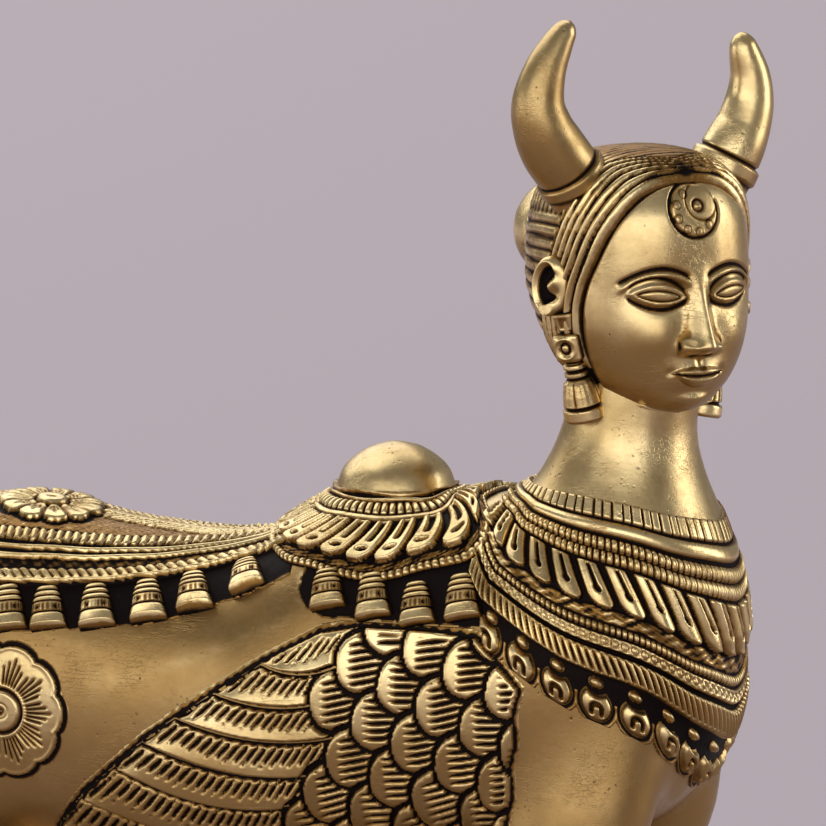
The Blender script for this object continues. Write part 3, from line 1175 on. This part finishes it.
def wing_relief(x, z):
    edge, inside = wing_edge(x), wing_inside(x, z)
    height, grime = np.full(x.shape, 0.4), np.ones(x.shape)
    for number in range(len(WING_TIPS) - 1):
        upper, lower = feather_line(number, x), feather_line(number + 1, x)
        upper = edge if number == 0 else np.minimum(upper, edge)
        width = np.maximum(upper - lower, 0.5)
        t = (upper - z) / width
        here = (t > 0) & (t <= 1)
        top_gap = 0.4 if number == 0 else 1.7 + 0.25 * np.sin(1.9 * x + number)
        stroke_line = off_line(x - 0.8 * (z - lower) + 0.5 * np.sin(3 * number), FEATHER_STROKES)
        reach = np.sin(np.pi * np.clip((t - 0.16 + 0.05 * np.sin(4 * x)) / 0.52, 0, 1)) ** 0.7
        stroke = soft(0.95, 0.4, stroke_line / np.maximum(reach * 0.85, 0.05)) * (reach > 0.02)
        dark = soft(top_gap, top_gap - 0.6, t * width)
        h = 0.6 + 2.2 * np.clip(t, 0, 1) ** 0.9 - 1.1 * stroke - 0.8 * dark
        height = np.where(here, h * (0.55 + 0.45 * soft(1.0, 0.93, t)), height)
        grime = np.where(here, np.maximum(dark, 0.95 * stroke), grime)
    # Scales, from the rear one to the front one, each over the one behind it
    spots = [
        (32.3 + 11.0 * i + 3.9 * j, 153.9 - 4.9 * i - 14.7 * j) for i in range(-3, 6) for j in range(-2, 5)
    ]
    for sx, sz in sorted(spots, key=lambda spot: spot[0] - 0.25 * spot[1]):
        if not (24.5 - 0.2 * (160 - sz) < sx < 82 and 92 < sz < 168):
            continue
        dx, dz = x - sx, z - sz
        # A rounded free end to the rear, open to the front
        odd = math.sin(7.1 * sx + 3.7 * sz)
        point = 1 + 0.09 * bump(np.arctan2(dz, dx - 0.5), -2.45 + 0.25 * odd, 0.5)
        rear = np.hypot((dx - 0.5) / (SCALE_BACK + 0.4 * odd), dz / SCALE_HALF) / point
        off = np.where(dx < 0.5, rear, np.abs(dz) / (SCALE_HALF - 0.18 * np.maximum(dx, 0)))
        far = (off - 1) * 7.2
        room = (dx < 9.5) & (off < 1.4)
        on = room & (far < 0)
        stroke_line = off_line(dz - (0.12 * odd + 0.14) * dx + 0.7 + 0.5 * odd, SCALE_STROKES)
        reach = arch((dx - 1.2) / (4.3 + 0.4 * odd), 1) * soft(6.2, 5.2, np.abs(dz))
        stroke = soft(0.85, 0.35, stroke_line / np.maximum(0.8 * reach**0.7, 0.05)) * (reach > 0.02)
        stroke = stroke * soft(1.0, 1.7, inside)
        shade = room & (far >= 0) & (far < SCALE_GAP) & (dx < 4)
        height = np.where(shade, np.minimum(height, 0.35), height)
        height = np.where(on, 3.0 - 0.15 * (dx + 6) - 0.5 * soft(-1.1, 0, far) - stroke, height)
        grime = np.where(on, stroke, np.where(shade, 1.0, grime))
    # A dark line round the wing, with a ragged outer edge, and the sheet's margin let into the metal
    height = height * soft(0.0, 0.5, inside)
    ragged = inside + 0.35 * crumb(x * 0.9, z * 0.9, 2)
    outline, margin = (inside <= 0.25) & (inside > -1.7), inside <= -1.7
    height = np.where(outline, 0.06, np.where(margin, -1.0 - 2.5 * soft(-1.7, -3.2, inside), height))
    shade = 0.45 * soft(-1.7, -0.9, ragged) + 0.5 * soft(-1.0, -0.3, ragged)
    return height, np.where(outline, shade, np.where(margin, 0.2, grime))


def wing(name, sign, rows, columns):
    z, x = np.meshgrid(np.linspace(164.5, 102, 64), np.linspace(-60, 78, 130), indexing="ij")
    points = resample(side_skin(x, z, sign), np.linspace(0, 63, rows), 0)
    points = resample(points, np.linspace(0, 129, columns), 1)
    sheet(name, points, body.normals(points), *wing_relief(points[..., 0], points[..., 2]))


ROSETTE_X, ROSETTE_Z, ROSETTE_PETALS = -66.6, 136.4, 10


def haunch_rosette(name, sign, rows, columns):
    share, turn = disc_grid(rows, columns, 0.01)
    far = share * 19.5
    points = side_skin(ROSETTE_X + far * np.cos(turn), ROSETTE_Z + far * np.sin(turn), sign)
    phase = np.mod(turn * ROSETTE_PETALS / (2 * np.pi) + 0.5, 1) - 0.5
    edge = 15.6 + 1.6 * arch(2 * phase, 0.5)
    mm = far * 2 * np.pi / ROSETTE_PETALS
    places = (-0.36, -0.18, 0, 0.18, 0.36)
    strokes = petal_cuts(phase, mm, far, places, 0.32, (6.6, 7.6), (14.8, 13.6), 7)
    moat = bump(far, 5.7, 0.5) + bump(far, 0, 1.1)
    height = 0.9 + 0.25 * bump(edge - far, 0.6, 0.5) - 0.6 * strokes + 0.3 * soft(5.2, 4.6, far)
    height = np.where(far > edge, 0.05, height - 0.8 * moat - 0.25 * bump(far, 2.0, 0.25))
    height = np.where(far > edge + 1.6, -0.8, height)
    grime = np.where(far > edge, soft(edge + 1.7, edge + 0.9, far), 0.95 * strokes + moat)
    sheet(name, points, body.normals(points), height, grime, True)


def body_piece():
    """The plain skin, browner beside the carving."""
    points, faces = body.skin()
    faces = outward_faces(points, faces, body.normals(points))
    x, y, z = points.T
    beside = soft(-14, -0.5, wing_inside(x, z)) * (z > 90)
    beside = np.maximum(beside, soft(8, 0, saddle_hem(x)[0] - BELL_DROP - 2 - z) * (x < 12))
    beside = np.maximum(beside, soft(26, 18, np.hypot(x - ROSETTE_X, z - ROSETTE_Z)))
    beside = np.where(np.abs(y) > 12, beside, 0)
    shoulder = soft(70, 84, x) * soft(182, 166, z) * soft(70, 110, z)
    stain = 0.47 + 0.5 * beside + 0.45 * shoulder + 0.25 * soft(160, 110, z)
    piece("body", [(points, faces, np.zeros(len(points)))], np.clip(stain, 0, 1))


body_piece()
hump_cloth()
saddle()
bell_ground()
wing("wing_right", -1, finely(195), finely(290))
wing("wing_left", 1, finely(95), finely(210))
haunch_rosette("haunch_rosette_right", -1, finely(72), finely(230))
haunch_rosette("haunch_rosette_left", 1, finely(52), finely(160))
bells("bells_right", -1, finely(46), finely(34))
bells("bells_left", 1, finely(34), finely(26))


# Ears: a curled rim round a dark hollow and a short ridge


def ear(name, sign, stand, middle):
    share, turn = disc_grid(finely(46), finely(96), 0.01)
    p, q = share * np.cos(turn), share * np.sin(turn)

    def near(ax, ay, bx, by, width):
        """1 on the line from a to b, and falling off beside it."""
        long_x, long_y = bx - ax, by - ay
        along = np.clip(((p - ax) * long_x + (q - ay) * long_y) / (long_x**2 + long_y**2), 0, 1)
        return bump(np.hypot(p - ax - along * long_x, q - ay - along * long_y), 0, width)

    open_side = soft(0.6, 0.95, np.cos(turn - math.radians(-8)))
    rim = bump(share, 0.8, 0.18) * (1 - 0.7 * open_side)
    core, lobe = near(0.5, 0.1, 0.22, -0.02, 0.24), near(-0.1, -0.74, 0.25, -0.72, 0.22)
    hollow = np.exp(-(((share - 0.42) / 0.24) ** 4)) * (1 - open_side)
    raised = np.clip(rim + core + lobe, 0, 1)
    height = 0.9 + 2.0 * raised - 0.9 * np.clip(hollow - raised, 0, 1)
    height = np.where(share > 0.985, -5.0, height * soft(1.02, 0.93, share) + 0.3)
    grime = np.clip(hollow * 1.6 + 0.3 - 1.1 * raised, 0, 1) + 0.5 * soft(0.93, 1.0, share)
    points = from_head(-0.2 + 4.3 * p, sign * (stand + height - 2.0 * p), middle + 8.0 * q + 0.6 * p)
    piece(name, [grid_part(points, head_way(0.0, float(sign), 0.0), grime, True)])


ear("ear_right", -1, 28.0, 250.6)
ear("ear_left", 1, 26.6, 247.0)

# Earrings: a wedge link, a box with a ringed dot, two rings, a fluted bell and its foot.
# Columns: way down, radius, and how square the section is, 2 being round.
EARRING_PROFILE = np.array([
    [0, 0.5, 4], [0.1, 2.6, 4], [1.0, 2.8, 4], [5.0, 2.1, 4], [5.4, 1.6, 4], [5.7, 1.9, 5], [6.0, 3.3, 6],
    [6.6, 3.6, 6], [12.4, 3.6, 6], [13.0, 3.3, 5], [13.3, 2.2, 3], [14.1, 2.2, 2], [14.4, 3.1, 2],
    [15.4, 3.2, 2], [15.8, 2.4, 2], [16.2, 2.4, 2], [16.5, 3.2, 2], [17.5, 3.2, 2], [17.9, 2.4, 2],
    [18.2, 2.8, 2], [19.4, 4.0, 2], [22.5, 4.8, 2], [25.0, 5.1, 2], [25.3, 4.3, 2], [25.7, 4.4, 2],
    [26.1, 5.5, 2], [28.6, 5.6, 2], [29.3, 5.0, 2], [29.5, 0.3, 2],
])


def earring(name, sign, top, foot, rows, columns):
    _, (down, radius, power) = even_line(EARRING_PROFILE, rows, 2)
    top, foot = from_head(*top), from_head(*foot)
    turn, power, down_column = full_turn(columns), power[:, None], down[:, None]
    shape = (np.abs(np.cos(turn)) ** power + np.abs(np.sin(turn)) ** power) ** (-1 / power)
    flute = np.abs(np.sin(turn * 8)) ** 0.6
    on_bell = plateau(down_column, 18.8, 24.8, 0.5)
    # The outer face has a wedge cut in its link, and a ringed dot on its box
    face_across = np.sin(turn) * (shape * radius[:, None])
    spot = np.hypot(face_across - 0.3, down_column - 9.4)
    outer = np.cos(turn) > 0.2
    moat = soft(2.0, 1.6, spot) * soft(0.75, 1.15, spot) * outer
    sunk = np.maximum(moat, 0.6 * bump(spot, 2.0, 0.42) * outer)
    wedge = plateau(down_column, 1.4, 4.4, 0.5) * outer * soft(1.5, 1.1, np.abs(face_across))
    rises = -0.35 * (1 - flute) * on_bell + 0.35 * bump(spot, 2.6, 0.35) * outer - 0.7 * sunk - 0.4 * wedge
    rises = np.where((radius < 1.2)[:, None], 0, rises)
    cut = sum(bump(down_column, place, 0.4) for place in (0.1, 5.5, 13.7, 16.0, 18.0, 25.5))
    grime = 0.95 * moat + 0.6 * wedge + 0.75 * soft(0.5, 0.15, flute) * on_bell + 1.2 * cut
    side = head_way(0.6, 0.8 * sign, 0.0)
    tube(name, top + unit(foot - top) * down_column, radius, grime, columns, shape, rises, side)


earring("earring_right", -1, (1.0, -26.2, 244.3), (0.3, -18.6, 214.0), finely(140), finely(60))
earring("earring_left", 1, (-4.0, 23.0, 242.3), (-4.0, 17.0, 212.5), finely(110), finely(48))

# Tail, laid against the right hind leg, with a combed tuft
TAIL_ROUTE = [
    [-104, 0, 174], [-114.5, -2, 168], [-118.5, -8, 140], [-115.5, -17, 108], [-114.5, -23, 74],
    [-109, -25, 46], [-105, -26, 26],
]


def tail():
    steps, centres = even_line(smooth_rows(TAIL_ROUTE, 24), finely(150))
    share = steps / steps[-1]
    radius = 3.4 + 2.8 * np.sin(np.pi * np.clip((share - 0.7) / 0.3, 0, 1)).clip(0, 1) ** 0.7
    radius = radius * np.sqrt(np.clip((1 - share) / 0.03, 0.01, 1))
    locks = np.abs(np.sin(full_turn(46) * 6 + share[:, None] * 14)) ** 0.5
    on = soft(0.69, 0.74, share)[:, None]
    ties = bump(share, 0.7, 0.008) + bump(share, 0.72, 0.008)
    rises = (locks - 1) * 0.75 * on + ties[:, None] * 0.9
    grime = 0.8 * soft(0.55, 0.2, locks) * on + bump(share, 0.71, 0.006)[:, None]
    tube("tail", np.stack(centres, axis=-1), radius, grime, 46, 1.0, rises, (0, 1, 0.2))


tail()


# Hooves: height, half length and half width
HOOF_ROWS = [
    [9.6, 8.6, 8.4], [8.6, 9.9, 9.7], [7.4, 10.3, 10.1], [6.6, 10.5, 10.3], [6.2, 11.0, 10.6],
    [5.9, 12.0, 11.2], [5.2, 12.6, 11.6], [3.6, 13.2, 12.0], [1.8, 13.8, 12.2], [0.2, 14.4, 12.4],
    [-0.6, 14.4, 12.4],
]


def hooves():
    """Cloven hooves, all four in one piece."""
    height, long, wide = np.array(HOOF_ROWS).T[:, :, None]
    turn = full_turn(96)
    split = bump(np.sin(turn / 2) * 13, 0, 0.9) * soft(9.0, 6.0, height)
    grime = 0.9 * split + 0.8 * bump(height, 6.4, 0.35) + 0.15
    parts = []
    for x, y in ((81.5, -28), (81.5, 28), (-94, -28), (-94, 28)):
        px, py = x + 0.6 + (long - 2.4 * split) * np.cos(turn), y + wide * np.sin(turn)
        points = np.stack(np.broadcast_arrays(px, py, height), axis=-1)
        parts.append(grid_part(points, points - np.array([x, y, 5.0]), grime, True))
    piece("hooves", parts)


hooves()


# Plinth: two tiers with softened edges. Columns: height, half length, half width, corner radius.
PLINTH_TIERS = [
    [-12, 1.272, 0.552, 0.05], [-12, 127.2, 55.2, 5], [-11.4, 128, 56, 5], [-5.6, 128, 56, 5],
    [-5, 127.4, 55.4, 5], [-4.9, 124.6, 52.6, 5], [-4.3, 124, 52, 5], [-0.6, 124, 52, 5],
    [0, 123.2, 51.2, 5], [0.05, 60, 20, 5], [0.06, 0.5, 0.3, 0.1],
]


def plinth():
    rings = []
    for z, half_long, half_wide, corner in PLINTH_TIERS:
        ring = []
        for quarter, (side_x, side_y) in enumerate(((1, 1), (-1, 1), (-1, -1), (1, -1))):
            for turn in np.radians(90 * quarter + np.linspace(0, 90, 8)):
                x, y = side_x * (half_long - corner), side_y * (half_wide - corner)
                ring.append((x + corner * math.cos(turn), y + corner * math.sin(turn), z))
        rings.append(ring)
    points = np.array(rings)
    grime = 0.08 + 0.5 * bump(points[..., 2], -4.95, 0.5)
    piece("plinth", [grid_part(points, points * np.array([1, 1, 0.01]), grime, True)])


plinth()

# Stage: a plain pale floor and soft lights
paper = bpy.data.materials.new("studio_paper")
paper.use_nodes = True
paper_shader = paper.node_tree.nodes["Principled BSDF"]
paper_shader.inputs["Base Color"].default_value = (0.548, 0.482, 0.52, 1)
paper_shader.inputs["Roughness"].default_value = 0.9
paper_shader.inputs["Specular IOR Level"].default_value = 0.1
floor_mesh = bpy.data.meshes.new("floor")
floor_mesh.from_pydata([(-60, -60, 0), (60, -60, 0), (60, 60, 0), (-60, 60, 0)], [], [(0, 1, 2, 3)])
floor_mesh.materials.append(paper)
floor = bpy.data.objects.new("floor", floor_mesh)
bpy.context.scene.collection.objects.link(floor)

# Lights: where each stands, what it aims at, its size and its power
LIGHTS = {
    "key": ((0.35, -1.7, 0.65), (0.04, 0, 0.24), (2.9, 1.15), 17),
    "left": ((-1.4, -0.9, 0.3), (0, 0, 0.2), (1.4, 0.7), 4),
    "right": ((1.7, 0.75, 0.55), (0.05, 0, 0.2), (0.9, 1.3), 10),
    "overhead": ((-2.4, 2.2, 3.2), (-1.0, 1.2, 0), (6, 6), 160),
}
for name, (place, aim, size, power) in LIGHTS.items():
    data = bpy.data.lights.new(name, "AREA")
    data.shape = "RECTANGLE"
    data.size, data.size_y = size
    data.energy = power
    light = bpy.data.objects.new(name, data)
    light.location = place
    light.rotation_mode = "QUATERNION"
    light.rotation_quaternion = (Vector(place) - Vector(aim)).to_track_quat("Z", "Y")
    bpy.context.scene.collection.objects.link(light)
bpy.context.scene.view_settings.view_transform = "Standard"
world = bpy.data.worlds.new("studio")
bpy.context.scene.world = world
world.use_nodes = True
background = world.node_tree.nodes["Background"].inputs
background["Color"].default_value = (0.9, 0.87, 0.9, 1)
background["Strength"].default_value = 0.25
